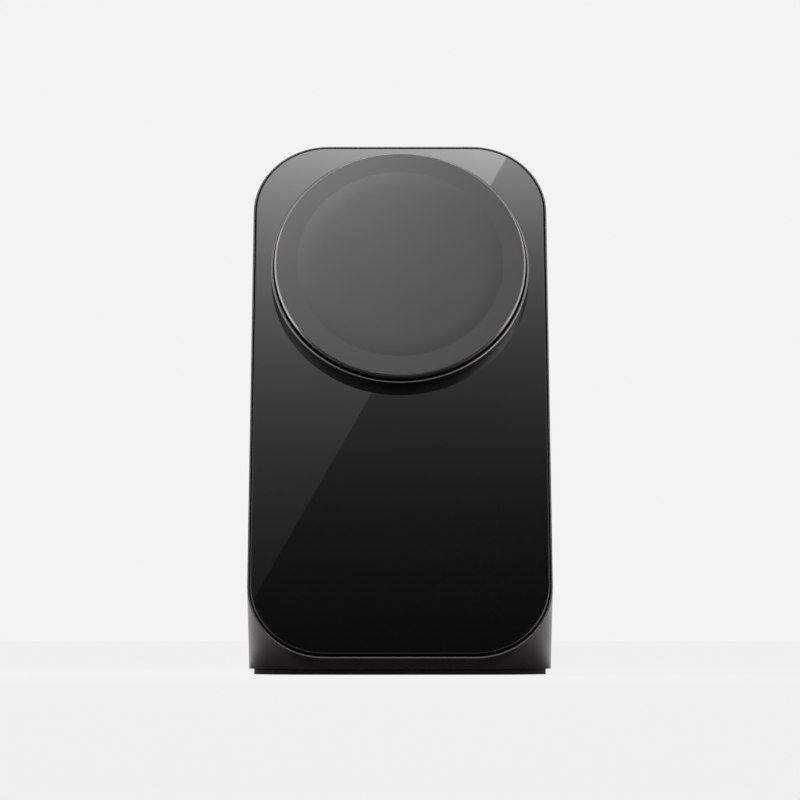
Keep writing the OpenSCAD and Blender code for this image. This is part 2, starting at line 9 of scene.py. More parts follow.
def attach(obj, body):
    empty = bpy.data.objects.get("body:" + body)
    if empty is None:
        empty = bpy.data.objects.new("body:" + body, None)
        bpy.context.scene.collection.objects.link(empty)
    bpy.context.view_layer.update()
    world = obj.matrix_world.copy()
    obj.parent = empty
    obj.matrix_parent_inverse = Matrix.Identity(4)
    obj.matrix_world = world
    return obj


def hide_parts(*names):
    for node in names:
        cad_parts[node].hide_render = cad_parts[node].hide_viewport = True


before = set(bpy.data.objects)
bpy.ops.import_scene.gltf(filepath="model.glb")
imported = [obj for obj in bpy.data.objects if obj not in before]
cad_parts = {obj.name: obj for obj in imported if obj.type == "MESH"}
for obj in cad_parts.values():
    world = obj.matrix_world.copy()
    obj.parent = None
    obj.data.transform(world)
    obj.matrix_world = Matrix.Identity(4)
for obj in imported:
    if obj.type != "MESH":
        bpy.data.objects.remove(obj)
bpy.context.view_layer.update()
MM = 0.001

# The stand's sizes, as the solids have them. U runs up the panel and N out of its face.
LEAN = math.radians(22)
PANEL_W = 65 * MM
PANEL_H = 123 * MM
CORNER_R = 16.5 * MM
TOE_Y = -38 * MM
TOE_H = 3.5 * MM
TOE_STEP = 0.02 * MM
SOLE_R = 18.5 * MM
RIM_W = 0.5 * MM
GLASS_T = 2 * MM
GLASS_PROUD = 0.4 * MM
GLASS_HOLE_R = 25 * MM
TAPE_T = 0.15 * MM
RECESS_FLOOR = GLASS_PROUD - GLASS_T - TAPE_T
PAD_U = PANEL_H - 32 * MM
CASE_R = 28.4 * MM
CASE_TOP = GLASS_PROUD + 3.2 * MM
CASE_LIP = 0.55 * MM
CASE_LEDGE = GLASS_PROUD + 0.8 * MM
GROOVE_FLOOR = CASE_TOP - 0.5 * MM
SPIGOT_R = 24.85 * MM
SPIGOT_WALL = 1 * MM
FACE_N = GLASS_PROUD + 4.9 * MM
SOFT_T = 0.8 * MM
CROWN_R = 22.7 * MM

# Fine edges and seams, set to the photograph and drawn finer than in the solids. SOFT is an edge's radius,
# GLASS_EDGE how far the glass lies in from the panel's outline, and GLASS_LIFT what its lower edge has more.
# RIM_OUT moves the rim's inner edge out.
GLASS_EDGE = 0.63 * MM
GLASS_LIFT = 0.24 * MM
GLASS_SOFT = 0.22 * MM
RIM_OUT = 0.12 * MM
RIM_SOFT = 0.12 * MM
LIP_SOFT = 0.28 * MM
LIP_INNER_SOFT = 0.08 * MM
RING_GAP = 0.29 * MM
RING_W = 0.36 * MM
RING_OUTER_SOFT = 0.06 * MM
RING_INNER_SOFT = 0.03 * MM
FACE_SOFT = 0.05 * MM
CROWN_H = 0.24 * MM
CROWN_SLOPE = 4.5 * MM
FOOT_SOFT = 0.25 * MM

# Level strips beside the soft face's edge and the crown's, which keep the shading of the flat between them
FACE_STRIP = 0.2 * MM
CROWN_STRIP = 0.08 * MM
# The drawn spigot ends under the glass, where nothing shows it
SPIGOT_END = -1 * MM

# Steps of the round forms and edges
TURN_STEPS = 256
HOLE_STEPS = 160
CORNER_STEPS = 32
CROWN_STEPS = 14
GLASS_STEPS = 10
EDGE_STEPS = 6
RIM_STEPS = 3
FOOT_STEPS = 3

# Edges over this angle are shaded sharp
SHARP = math.radians(30)
FOOT_SHARP = math.radians(35)
# The solid's triangles that lie this close to one plane are joined
FLAT = math.radians(0.3)

# Points closer than these are one, in a turned shape and in a solid
TURN_MERGE = 0.001 * MM
SOLID_MERGE = 0.002 * MM
# What is closer than this to the panel's face lies in it, and points there that are closer are one
LEVEL = 0.004 * MM

# How the rim's inner edge and the glass recess are told from the rest of the housing. The cosines are of a
# face's angle with the panel's: a wall stands nearly square to it, and a floor is nearly level with it.
RIM_NEAR = 0.05 * MM
WALL_NEAR = 0.04 * MM
FLOOR_NEAR = 0.01 * MM
RECESS_TOP = -0.2 * MM
WALL_COS = 0.12
FLOOR_COS = 0.98

# The panel's own frame has x across, y up the panel from its lower edge, and z out of its face
PANEL_TO_ROOM = Matrix.Translation((0, TOE_Y, TOE_H)) @ Matrix.Rotation(math.radians(90) - LEAN, 4, "X")
ROOM_TO_PANEL = PANEL_TO_ROOM.inverted()
PANEL_OUT = PANEL_TO_ROOM.to_3x3() @ Vector((0, 0, 1))


def linear(hex_colour):
    """An sRGB hex colour as linear red, green, blue and alpha."""
    parts = [int(hex_colour[i:i + 2], 16) / 255 for i in (1, 3, 5)]
    return [c / 12.92 if c <= 0.04045 else ((c + 0.055) / 1.055) ** 2.4 for c in parts] + [1.0]


def add_node(tree, kind, inputs=None, **settings):
    """Adds a node and sets it up. An input takes a value, a socket, or a node for its first output."""
    node = tree.nodes.new(kind)
    for key, value in settings.items():
        setattr(node, key, value)
    for key, value in (inputs or {}).items():
        if isinstance(value, bpy.types.Node):
            value = value.outputs[0]
        if isinstance(value, bpy.types.NodeSocket):
            tree.links.new(value, node.inputs[key])
        else:
            node.inputs[key].default_value = value
    return node


def new_material(name, sockets):
    """A material with one Principled shader, its sockets set as given."""
    material = bpy.data.materials.new(name)
    material.use_nodes = True
    shader = material.node_tree.nodes["Principled BSDF"]
    for key, value in sockets.items():
        shader.inputs[key].default_value = value
    return material, material.node_tree, shader


# How deep the grain of a surface is at full strength
RELIEF = 0.02 * MM
# Nearly all of a noise lies between these values
NOISE_LOW = 0.3
NOISE_HIGH = 0.7


def grain(tree, shader, size, strength):
    """Fine bumps: size is the width of a grain."""
    noise = add_node(tree, "ShaderNodeTexNoise", {
        "Vector": add_node(tree, "ShaderNodeTexCoord").outputs["Object"],
        "Scale": 1 / size, "Detail": 2.0, "Roughness": 0.6})
    bump = add_node(tree, "ShaderNodeBump", {
        "Height": noise.outputs["Fac"], "Strength": strength, "Distance": RELIEF})
    tree.links.new(bump.outputs["Normal"], shader.inputs["Normal"])


def vary(tree, socket, low, high, size):
    """Lets a number drift softly between two values over patches of the given size."""
    noise = add_node(tree, "ShaderNodeTexNoise", {
        "Vector": add_node(tree, "ShaderNodeTexCoord").outputs["Object"], "Scale": 1 / size, "Detail": 3.0})
    spread = add_node(tree, "ShaderNodeMapRange", {
        "Value": noise.outputs["Fac"], "From Min": NOISE_LOW, "From Max": NOISE_HIGH,
        "To Min": low, "To Max": high})
    tree.links.new(spread.outputs["Result"], socket)


def vary_colour(tree, socket, dark, light, size):
    """Lets a colour drift softly between two hex colours over patches of the given size."""
    noise = add_node(tree, "ShaderNodeTexNoise", {
        "Vector": add_node(tree, "ShaderNodeTexCoord").outputs["Object"], "Scale": 1 / size, "Detail": 4.0})
    mix = add_node(tree, "ShaderNodeMix", {
        "Factor": noise.outputs["Fac"], "A": linear(dark), "B": linear(light)}, data_type="RGBA")
    tree.links.new(mix.outputs["Result"], socket)


def anodised_gunmetal():
    """Bead-blasted and dark anodised: an even satin with a tight sparkle and a faint warm cast."""
    material, tree, shader = new_material("anodised gunmetal", {"Metallic": 1.0})
    vary_colour(tree, shader.inputs["Base Color"], "#4b4947", "#504e4c", 9 * MM)
    vary(tree, shader.inputs["Roughness"], 0.26, 0.31, 6 * MM)
    grain(tree, shader, 0.12 * MM, 0.1)
    return material


def polished_gunmetal():
    """The turned lip of the pad's case: the same alloy as the housing, cut bright."""
    material, tree, shader = new_material("polished gunmetal", {"Metallic": 1.0})
    vary_colour(tree, shader.inputs["Base Color"], "#646363", "#6b6a6a", 4 * MM)
    vary(tree, shader.inputs["Roughness"], 0.16, 0.2, 3 * MM)
    return material


def diamond_cut_edge():
    """A lathe-cut bright edge on anodised metal: narrow and nearly mirror smooth."""
    material, tree, shader = new_material("diamond cut edge", {"Metallic": 1.0})
    vary_colour(tree, shader.inputs["Base Color"], "#8e8e8e", "#979797", 4 * MM)
    vary(tree, shader.inputs["Roughness"], 0.12, 0.18, 3 * MM)
    return material


def black_backed_glass():
    """Polished glass with a black print behind it: a mirror-flat face over a near black body."""
    material, tree, shader = new_material("black backed glass", {"IOR": 1.52})
    vary_colour(tree, shader.inputs["Base Color"], "#070707", "#090909", 20 * MM)
    vary(tree, shader.inputs["Roughness"], 0.006, 0.014, 14 * MM)
    return material


def soft_touch_silicone():
    """Moulded silicone with a fine matte texture, which spreads the light into a soft sheen."""
    material, tree, shader = new_material("soft touch silicone", {"IOR": 1.43, "Specular IOR Level": 0.2})
    vary_colour(tree, shader.inputs["Base Color"], "#4e4e4e", "#515150", 5 * MM)
    vary(tree, shader.inputs["Roughness"], 0.58, 0.64, 8 * MM)
    grain(tree, shader, 0.15 * MM, 0.15)
    return material


def silicone_rubber():
    """Black silicone rubber, moulded against a lightly textured tool: deep black and hardly shiny."""
    material, tree, shader = new_material("silicone rubber", {"IOR": 1.41, "Specular IOR Level": 0.3})
    vary_colour(tree, shader.inputs["Base Color"], "#0f0f0f", "#131313", 4 * MM)
    vary(tree, shader.inputs["Roughness"], 0.62, 0.72, 5 * MM)
    grain(tree, shader, 0.2 * MM, 0.2)
    return material


def plated_steel():
    """Zinc-plated sheet and turned steel: cool grey with fine lines from rolling."""
    material, tree, shader = new_material("plated steel", {"Metallic": 1.0})
    line_length = 2 * MM
    lines_per_length = 12.0
    point = add_node(tree, "ShaderNodeTexCoord").outputs["Object"]
    stretched = add_node(tree, "ShaderNodeMapping", {"Vector": point, "Scale": (1.0, lines_per_length, 1.0)})
    lines = add_node(tree, "ShaderNodeTexNoise", {
        "Vector": stretched, "Scale": 1 / line_length, "Detail": 3.0})
    tone = add_node(tree, "ShaderNodeMix", {
        "Factor": lines.outputs["Fac"], "A": linear("#a9acb0"), "B": linear("#c6c9cc")}, data_type="RGBA")
    tree.links.new(tone.outputs["Result"], shader.inputs["Base Color"])
    vary(tree, shader.inputs["Roughness"], 0.28, 0.4, 4 * MM)
    return material


# How far a plain finish's roughness drifts, and the width of its grain
ROUGH_DRIFT = 0.05
PLAIN_GRAIN = 0.2 * MM


def plain_material(name, dark, light, rough, patch, relief=0.0, sockets=None):
    """A plain finish: a drifting colour and roughness, and a grain where it has one."""
    material, tree, shader = new_material(name, sockets or {})
    vary_colour(tree, shader.inputs["Base Color"], dark, light, patch)
    vary(tree, shader.inputs["Roughness"], rough - ROUGH_DRIFT, rough + ROUGH_DRIFT, patch)
    if relief:
        grain(tree, shader, PLAIN_GRAIN, relief)
    return material


def dress(name, material):
    """Gives a node its one material."""
    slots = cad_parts[name].data.materials
    slots.clear()
    slots.append(material)


def dress_hidden_parts():
    """Finishes of what the housing closes in."""
    metal = {"Metallic": 1.0}
    steel = plated_steel()
    # Green lacquer over woven glass: even and half glossy
    board = plain_material("solder mask on glass fibre", "#123a26", "#174a30", 0.4, 3 * MM)
    # Pressed in a tool with a fine blasted skin: dull and near black
    chip = plain_material("moulded epoxy", "#17171a", "#1e1e21", 0.55, 2 * MM, relief=0.2)
    # Painted shade: near black and with its gloss turned down, so that the groove round the trim ring stays
    # black as shade
    groove_shade_black = plain_material("black moulding as groove shade", "#060606", "#090909", 0.85, 2 * MM,
                           sockets={"Specular IOR Level": 0.1})
    # Undyed plastic: warm white and faintly waxy
    nylon = plain_material("moulded nylon", "#d2ccba", "#ddd8c8", 0.5, 6 * MM)
    # Pressed and fired powder: flat grey with a fine grit
    ferrite = plain_material("sintered ferrite", "#3d3f42", "#494b4e", 0.6, 3 * MM, relief=0.3)
    # Drawn wire under clear lacquer: warm and bright
    copper = plain_material("drawn copper", "#b56c3c", "#c77c49", 0.3, 2 * MM, sockets=metal)
    # Plated against rust: pale, warm and fairly bright
    nickel = plain_material("nickel plate", "#a9a79f", "#b8b6ae", 0.25, 3 * MM, sockets=metal)
    # Closed-cell foam: dull black with a soft texture
    tape = plain_material("foam tape", "#101010", "#161616", 0.8, 3 * MM, relief=0.3)
    # Thin amber film over copper tracks: smooth and glossy
    film = plain_material("amber polyimide film", "#9c5a22", "#ad6829", 0.3, 4 * MM)
    # Fired and glazed: tan with a soft shine
    ceramic = plain_material("glazed ceramic", "#8a7048", "#9a7f55", 0.35, 2 * MM)
    finishes = {
        steel: ["shield_plate", "pad_screws", "usb_shell", "board_screws", "ballast_block",
                "ballast_screws", "base_plate", "plate_screws"],
        board: ["pad_board", "main_board"],
        chip: ["pad_chips", "controller_chips", "usb_tongue"],
        # The carrier carries the black that is painted as shade in the groove
        groove_shade_black: ["pad_carrier"],
        nylon: ["pad_connector", "board_connector"],
        ferrite: ["ferrite_plate", "inductors"],
        copper: ["charging_coil"],
        nickel: ["magnet_ring"],
        tape: ["glass_tape"],
        film: ["flex_cable"],
        ceramic: ["capacitors"],
    }
    for material, names in finishes.items():
        for name in names:
            dress(name, material)


def add_object(name, mesh, *materials):
    """Puts a bmesh into the scene as an object with the given materials."""
    data = bpy.data.meshes.new(name)
    mesh.to_mesh(data)
    mesh.free()
    for material in materials:
        data.materials.append(material)
    made = bpy.data.objects.new(name, data)
    bpy.context.scene.collection.objects.link(made)
    return made


def add_piece(name, mesh, node, *materials):
    """Makes a bmesh a piece that stands for a node and rides with it, smooth but for its sharp edges."""
    bmesh.ops.recalc_face_normals(mesh, faces=mesh.faces)
    for edge in mesh.edges:
        edge.smooth = edge.smooth and edge.calc_face_angle(math.pi) < SHARP
    for face in mesh.faces:
        face.smooth = True
    piece = add_object(name, mesh, *materials)
    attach(piece, "root")
    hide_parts(node)
    return piece


def in_panel(point):
    """A point of the room in the panel's own frame."""
    return ROOM_TO_PANEL @ point


def outward(x, u):
    """The inset of a point of the panel from its outline, and the way out across and up the panel."""
    over = Vector((abs(x) - PANEL_W / 2 + CORNER_R, abs(u - PANEL_H / 2) - PANEL_H / 2 + CORNER_R))
    if over.x > 0 and over.y > 0:
        inset, way = CORNER_R - over.length, over.normalized()
    elif over.x > over.y:
        inset, way = CORNER_R - over.x, Vector((1, 0))
    else:
        inset, way = CORNER_R - over.y, Vector((0, 1))
    return inset, Vector((math.copysign(way.x, x), math.copysign(way.y, u - PANEL_H / 2), 0))


def draw_rim(mesh):
    """Draws the toe's small step level with the panel's face, and the rim's inner edge further out."""
    for vert in mesh.verts:
        place = in_panel(vert.co)
        if abs(place.z + TOE_STEP) < LEVEL:
            place.z = 0
        inset, way = outward(place.x, place.y)
        if abs(place.z) < LEVEL and abs(inset - RIM_W) < RIM_NEAR:
            place += way * RIM_OUT
        vert.co = PANEL_TO_ROOM @ place


def rim_edges(mesh):
    """The sharp edges in the plane of the panel's face."""
    sharp = [edge for edge in mesh.edges if edge.calc_face_angle(0) >= SHARP]
    return [edge for edge in sharp if all(abs(in_panel(vert.co).z) < LEVEL for vert in edge.verts)]


def in_recess(face):
    """Whether a face is part of the glass recess: its floor or its wall."""
    middle = in_panel(face.center)
    facing = face.normal.dot(PANEL_OUT)
    inside = outward(middle.x, middle.y)[0] > RIM_W - RIM_OUT - WALL_NEAR
    square = abs(facing) < WALL_COS or facing > FLOOR_COS
    return inside and square and RECESS_FLOOR - FLOOR_NEAR < middle.z < RECESS_TOP


def housing_skin(gunmetal, recess_shade_black):
    """The housing, with its rim drawn level and rounded and its glass recess painted black as shade."""
    mesh = bmesh.new()
    mesh.from_mesh(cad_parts["housing"].data)
    bmesh.ops.remove_doubles(mesh, verts=mesh.verts, dist=SOLID_MERGE)
    draw_rim(mesh)
    bmesh.ops.remove_doubles(mesh, verts=mesh.verts, dist=LEVEL)
    bmesh.ops.dissolve_limit(mesh, angle_limit=FLAT, verts=mesh.verts, edges=mesh.edges,
                             use_dissolve_boundaries=False, delimit=set())
    bmesh.ops.bevel(mesh, geom=rim_edges(mesh), offset=RIM_SOFT, affect="EDGES", segments=RIM_STEPS,
                    profile=0.5, material=-1, clamp_overlap=True)
    piece = add_piece("housing_skin", mesh, "housing", gunmetal, recess_shade_black)
    # The recess's floor and walls take the black that is painted as shade
    for face in piece.data.polygons:
        if in_recess(face):
            face.material_index = 1
    weighted = piece.modifiers.new("even shading", "WEIGHTED_NORMAL")
    weighted.keep_sharp = True


def glass_plate():
    """The glass before its hole is cut: a plate with round corners and a rounded front edge."""
    mesh = bmesh.new()
    half, low, high = PANEL_W / 2 - GLASS_EDGE, GLASS_EDGE + GLASS_LIFT, PANEL_H - GLASS_EDGE
    corners = [(half, high), (-half, high), (-half, low), (half, low)]
    sheet = mesh.faces.new([mesh.verts.new((x, u, GLASS_PROUD - GLASS_T)) for x, u in corners])
    bmesh.ops.bevel(mesh, geom=sheet.verts[:], offset=CORNER_R - GLASS_EDGE, affect="VERTICES",
                    segments=CORNER_STEPS, profile=0.5, material=-1, clamp_overlap=False)
    grown = bmesh.ops.extrude_face_region(mesh, geom=mesh.faces[:])["geom"]
    front = {part for part in grown if isinstance(part, bmesh.types.BMVert)}
    bmesh.ops.translate(mesh, verts=list(front), vec=(0, 0, GLASS_T))
    border = [edge for edge in mesh.edges if front.issuperset(edge.verts)]
    bmesh.ops.bevel(mesh, geom=border, offset=GLASS_SOFT, affect="EDGES", segments=GLASS_STEPS,
                    profile=0.5, material=-1, clamp_overlap=False)
    return mesh


def glass_panel(material):
    """The glass, with the hole for the pad's case and shading that stays flat on its face."""
    mesh = glass_plate()
    flats = [face for face in mesh.faces if len(face.verts) > 4]
    hole = []
    for flat in sorted(flats, key=lambda face: face.calc_center_median().z):
        place = Matrix.Translation((0, PAD_U, flat.verts[0].co.z))
        circle = bmesh.ops.create_circle(mesh, segments=HOLE_STEPS, radius=GLASS_HOLE_R, matrix=place)
        loop = list({edge for vert in circle["verts"] for edge in vert.link_edges})
        border = flat.edges[:] + loop
        for edge in border:
            edge.smooth = False
        bmesh.ops.delete(mesh, geom=[flat], context="FACES_ONLY")
        bmesh.ops.triangle_fill(mesh, use_beauty=True, use_dissolve=False, edges=border, normal=(0, 0, 1))
        hole += loop
    bmesh.ops.bridge_loops(mesh, edges=hole)
    bmesh.ops.transform(mesh, matrix=PANEL_TO_ROOM, verts=mesh.verts)
    add_piece("glass_panel", mesh, "front_glass", material)


def turn(outline, soft):
    """Spins an outline of (radius, height) points round the pad's axis. soft gives edge radii by point."""
    mesh = bmesh.new()
    verts = [mesh.verts.new((r, 0, n)) for r, n in outline]
    for a, b in zip(verts, verts[1:] + verts[:1]):
        mesh.edges.new((a, b))
    for index in sorted(soft, reverse=True):
        bmesh.ops.bevel(mesh, geom=[verts[index]], offset=soft[index], affect="VERTICES",
                        segments=EDGE_STEPS, profile=0.5, material=-1, clamp_overlap=True)
    bmesh.ops.spin(mesh, geom=mesh.verts[:] + mesh.edges[:], cent=(0, 0, 0), axis=(0, 0, 1), dvec=(0, 0, 0),
                   angle=math.tau, steps=TURN_STEPS, use_merge=True, use_duplicate=False)
    bmesh.ops.remove_doubles(mesh, verts=mesh.verts, dist=TURN_MERGE)
    return mesh


def add_turned(name, mesh, node, *materials):
    """Sets a turned shape on the panel, at the pad's axis."""
    bmesh.ops.transform(mesh, matrix=PANEL_TO_ROOM @ Matrix.Translation((0, PAD_U, 0)), verts=mesh.verts)
    add_piece(name, mesh, node, *materials)


def mark_lip(mesh):
    """Gives the rounded lip of the pad's case the second material."""
    for face in mesh.faces:
        middle = face.calc_center_median()
        if middle.z > CASE_TOP - LIP_SOFT and math.hypot(middle.x, middle.y) > CASE_R - LIP_SOFT:
            face.material_index = 1


def crown_profile():
    """The crown's shoulder: steepest at its rim and level where it meets the flat middle."""
    points = [(CROWN_R + CROWN_STRIP, FACE_N)]
    for i in range(CROWN_STEPS + 1):
        t = i / CROWN_STEPS
        points.append((CROWN_R - t * CROWN_SLOPE, FACE_N + CROWN_H * (1 - (1 - t) ** 2)))
    return points


def charging_pad(gunmetal, polished, bright_edge, silicone):
    """The pad's case, trim ring and soft face, each turned from its own outline."""
    case_inner = CASE_R - CASE_LIP
    ring_r = case_inner - RING_GAP
    face_r = ring_r - RING_W
    bore_r = SPIGOT_R - SPIGOT_WALL
    case = turn([
        (SPIGOT_R, SPIGOT_END), (SPIGOT_R, GLASS_PROUD), (CASE_R, GLASS_PROUD), (CASE_R, CASE_TOP),
        (case_inner, CASE_TOP), (case_inner, CASE_LEDGE), (bore_r, CASE_LEDGE), (bore_r, SPIGOT_END)],
        {3: LIP_SOFT, 4: LIP_INNER_SOFT})
    mark_lip(case)
    add_turned("pad_case_turned", case, "pad_case", gunmetal, polished)
    ring = turn([
        (face_r, GROOVE_FLOOR), (ring_r, GROOVE_FLOOR), (ring_r, FACE_N - RING_W), (face_r, FACE_N)],
        {2: RING_OUTER_SOFT, 3: RING_INNER_SOFT})
    add_turned("trim_ring_turned", ring, "trim_ring", bright_edge)
    underside = FACE_N - SOFT_T
    edge = [(0, underside), (face_r, underside), (face_r, FACE_N), (face_r - FACE_STRIP, FACE_N)]
    face = turn(edge + crown_profile() + [(0, FACE_N + CROWN_H)], {2: FACE_SOFT})
    add_turned("soft_face", face, "soft_pad", silicone)


def soften_foot():
    """Rounds the foot's edges, once its loose triangles are joined."""
    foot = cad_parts["foot_pad"]
    for face in foot.data.polygons:
        face.use_smooth = True
    weld = foot.modifiers.new("weld", "WELD")
    weld.merge_threshold = SOLID_MERGE
    bevel = foot.modifiers.new("soft edges", "BEVEL")
    bevel.width = FOOT_SOFT
    bevel.segments = FOOT_STEPS
    bevel.limit_method = "ANGLE"
    bevel.angle_limit = FOOT_SHARP
    bevel.harden_normals = True


def dress_stand():
    """Every piece of the stand in its finish."""
    gunmetal = anodised_gunmetal()
    # Painted shade: flat black on the floor and walls of the glass recess, which keeps the gap round the
    # glass dark
    recess_shade_black = plain_material("black recess shade", "#0b0b0b", "#0f0f0f", 0.7, 4 * MM)
    housing_skin(gunmetal, recess_shade_black)
    dress("foot_pad", silicone_rubber())
    soften_foot()
    glass_panel(black_backed_glass())
    charging_pad(gunmetal, polished_gunmetal(), diamond_cut_edge(), soft_touch_silicone())
    dress_hidden_parts()


# Camera: fitted to the photograph's outlines, just above the desk and looking a little up. The sensor's
# width is in millimetres, and it sees what lies between the last two distances, in metres.
CAMERA_BACK = 855.3 * MM
CAMERA_Z = 7.8 * MM
CAMERA_PITCH = math.radians(3.362)
FOCAL_PIXELS = 4049
FRAME_PIXELS = 800
SENSOR = 36
NEAREST = 0.01
FARTHEST = 50


def add_camera():
    """The photograph's camera."""
    data = bpy.data.cameras.new("camera")
    data.sensor_width = SENSOR
    data.lens = SENSOR * FOCAL_PIXELS / FRAME_PIXELS
    data.clip_start = NEAREST
    data.clip_end = FARTHEST
    camera = bpy.data.objects.new("camera", data)
    camera.location = (0, TOE_Y - CAMERA_BACK, CAMERA_Z)
    camera.rotation_euler = (math.radians(90) + CAMERA_PITCH, 0, 0)
    bpy.context.scene.collection.objects.link(camera)
    bpy.context.scene.camera = camera


# The background's colour, and the floor paper's own
PALE = "#f3f3f3"
PAPER = "#e4e4e4"
# The floor's width in metres, and how much of what is seen of it is the background's colour
FLOOR_SIZE = 16
FLOOR_GLOW_SHARE = 0.97
# How strongly the surroundings light matte faces
WORLD_FILL = 0.15


def seen_directly(tree):
    """One for camera, glossy and transmission rays, and nought for diffuse ones."""
    path = add_node(tree, "ShaderNodeLightPath")
    seen = add_node(tree, "ShaderNodeMath", {
        0: path.outputs["Is Camera Ray"], 1: path.outputs["Is Glossy Ray"]}, operation="MAXIMUM")
    return add_node(tree, "ShaderNodeMath", {
        0: seen, 1: path.outputs["Is Transmission Ray"]}, operation="MAXIMUM")


def add_world():
    """Pale surroundings, which light matte faces only a little."""
    world = bpy.data.worlds.new("studio")
    world.use_nodes = True
    bpy.context.scene.world = world
    tree = world.node_tree
    background = tree.nodes["Background"]
    background.inputs["Color"].default_value = linear(PALE)
    strength = add_node(tree, "ShaderNodeMapRange", {
        "Value": seen_directly(tree), "To Min": WORLD_FILL, "To Max": 1.0})
    tree.links.new(strength.outputs["Result"], background.inputs["Strength"])


def stage_sheet(name, size, place, turn_degrees=(0, 0, 0)):
    """A flat sheet of the studio, with a bare material to fill in."""
    mesh = bmesh.new()
    bmesh.ops.create_grid(mesh, x_segments=1, y_segments=1, size=0.5)
    bmesh.ops.scale(mesh, vec=(*size, 1), verts=mesh.verts)
    material = bpy.data.materials.new(name)
    material.use_nodes = True
    material.node_tree.nodes.clear()
    sheet = add_object(name, mesh, material)
    sheet.location = place
    sheet.rotation_euler = [math.radians(degrees) for degrees in turn_degrees]
    return sheet, material.node_tree


def add_floor():
    """A pale floor in the background's own colour that keeps a soft shadow."""
    tree = stage_sheet("paper floor", (FLOOR_SIZE, FLOOR_SIZE), (0, 0, 0))[1]
    paper = add_node(tree, "ShaderNodeBsdfDiffuse", {"Color": linear(PAPER)})
    glow = add_node(tree, "ShaderNodeEmission", {"Color": linear(PALE), "Strength": 1.0})
    share = add_node(tree, "ShaderNodeMath", {0: seen_directly(tree), 1: FLOOR_GLOW_SHARE},
                     operation="MULTIPLY")
    mix = add_node(tree, "ShaderNodeMixShader", {0: share, 1: paper, 2: glow})
    add_node(tree, "ShaderNodeOutputMaterial", {"Surface": mix})


# The light card, in metres: it faces the base from this elevation and distance, and its foot and head are
# heights on it
CARD_ELEVATION = math.radians(48)
CARD_DISTANCE = 1.0
CARD_W = 0.9
CARD_FOOT = -0.115
CARD_HEAD = 0.2
# Its glow is e to the power of level + climb * height, up to the height where it is brightest.
# A straight edge leans across the card, and beyond it the other pair holds. On the near side the climb
# also grows towards the right.
CARD_TOP = 0.14
NEAR_LEVEL, NEAR_CLIMB = -0.33, 18.8
FAR_LEVEL, FAR_CLIMB = -0.97, 21.0
CLIMB_LEAN = 26.0
EDGE_FOOT = Vector((-0.0654, -0.0714))
EDGE_HEAD = Vector((0.0486, 0.1277))


def add_card():
    """The large soft light that the glass mirrors: bright above, falling off to black below."""
    place = (0, -CARD_DISTANCE * math.cos(CARD_ELEVATION), CARD_DISTANCE * math.sin(CARD_ELEVATION))
    card, tree = stage_sheet("light card", (CARD_W, CARD_HEAD - CARD_FOOT), place,
                             (90 - math.degrees(CARD_ELEVATION), 0, 0))
    for vert in card.data.vertices:
        vert.co.y += (CARD_HEAD + CARD_FOOT) / 2
    point = add_node(tree, "ShaderNodeTexCoord").outputs["Object"]
    split = add_node(tree, "ShaderNodeSeparateXYZ", {0: point})
    height = add_node(tree, "ShaderNodeMath", {0: split.outputs["Y"], 1: CARD_TOP}, operation="MINIMUM")
    run = EDGE_HEAD - EDGE_FOOT
    side = add_node(tree, "ShaderNodeMath", {0: split.outputs["X"], 1: run.y}, operation="MULTIPLY")
    side = add_node(tree, "ShaderNodeMath", {0: split.outputs["Y"], 1: -run.x, 2: side},
                    operation="MULTIPLY_ADD")
    past = add_node(tree, "ShaderNodeMath", {0: side, 1: EDGE_FOOT.x * run.y - EDGE_FOOT.y * run.x},
                    operation="GREATER_THAN")
    level = add_node(tree, "ShaderNodeMapRange", {"Value": past, "To Min": NEAR_LEVEL, "To Max": FAR_LEVEL})
    climb = add_node(tree, "ShaderNodeMapRange", {"Value": past, "To Min": NEAR_CLIMB, "To Max": FAR_CLIMB})
    lean = add_node(tree, "ShaderNodeMath", {0: split.outputs["X"], 1: CLIMB_LEAN}, operation="MULTIPLY")
    near = add_node(tree, "ShaderNodeMath", {0: 1.0, 1: past}, operation="SUBTRACT")
    lean = add_node(tree, "ShaderNodeMath", {0: lean, 1: near}, operation="MULTIPLY")
    climb = add_node(tree, "ShaderNodeMath", {0: climb, 1: lean}, operation="ADD")
    power = add_node(tree, "ShaderNodeMath", {0: height, 1: climb, 2: level}, operation="MULTIPLY_ADD")
    glow = add_node(tree, "ShaderNodeMath", {0: power}, operation="EXPONENT")
    light = add_node(tree, "ShaderNodeEmission", {"Strength": glow})
    add_node(tree, "ShaderNodeOutputMaterial", {"Surface": light})
    card.visible_camera = False
    card.visible_diffuse = False


# Painted shade on the floor, in metres: a dark sheet that only polished faces mirror. It lies round the base
# as the floor's shade, fading between two distances from its outline.
# Before the toe it is a wedge with a soft margin, and its half width grows with the distance by the spread.
FLOOR_SHADE_SIZE = 1.6
FLOOR_SHADE_Z = 0.0002
FLOOR_SHADE_NEAR = -0.004
FLOOR_SHADE_FAR = 0.022
FLOOR_SHADE_GLOW = 0.08
WEDGE_HALF = 0.045
WEDGE_SPREAD = 3.0
WEDGE_SOFT = 0.02


def toe_reach(tree, split):
    """How far a point of the floor lies from the rectangle between the centres of the base's corners."""
    squares = []
    for along, half in (("X", PANEL_W / 2), ("Y", -TOE_Y)):
        off = add_node(tree, "ShaderNodeMath", {0: split.outputs[along]}, operation="ABSOLUTE")
        off = add_node(tree, "ShaderNodeMath", {0: off, 1: half - SOLE_R}, operation="SUBTRACT")
        off = add_node(tree, "ShaderNodeMath", {0: off, 1: 0.0}, operation="MAXIMUM")
        squares.append(add_node(tree, "ShaderNodeMath", {0: off, 1: off}, operation="MULTIPLY"))
    total = add_node(tree, "ShaderNodeMath", {0: squares[0], 1: squares[1]}, operation="ADD")
    return add_node(tree, "ShaderNodeMath", {0: total}, operation="SQRT")


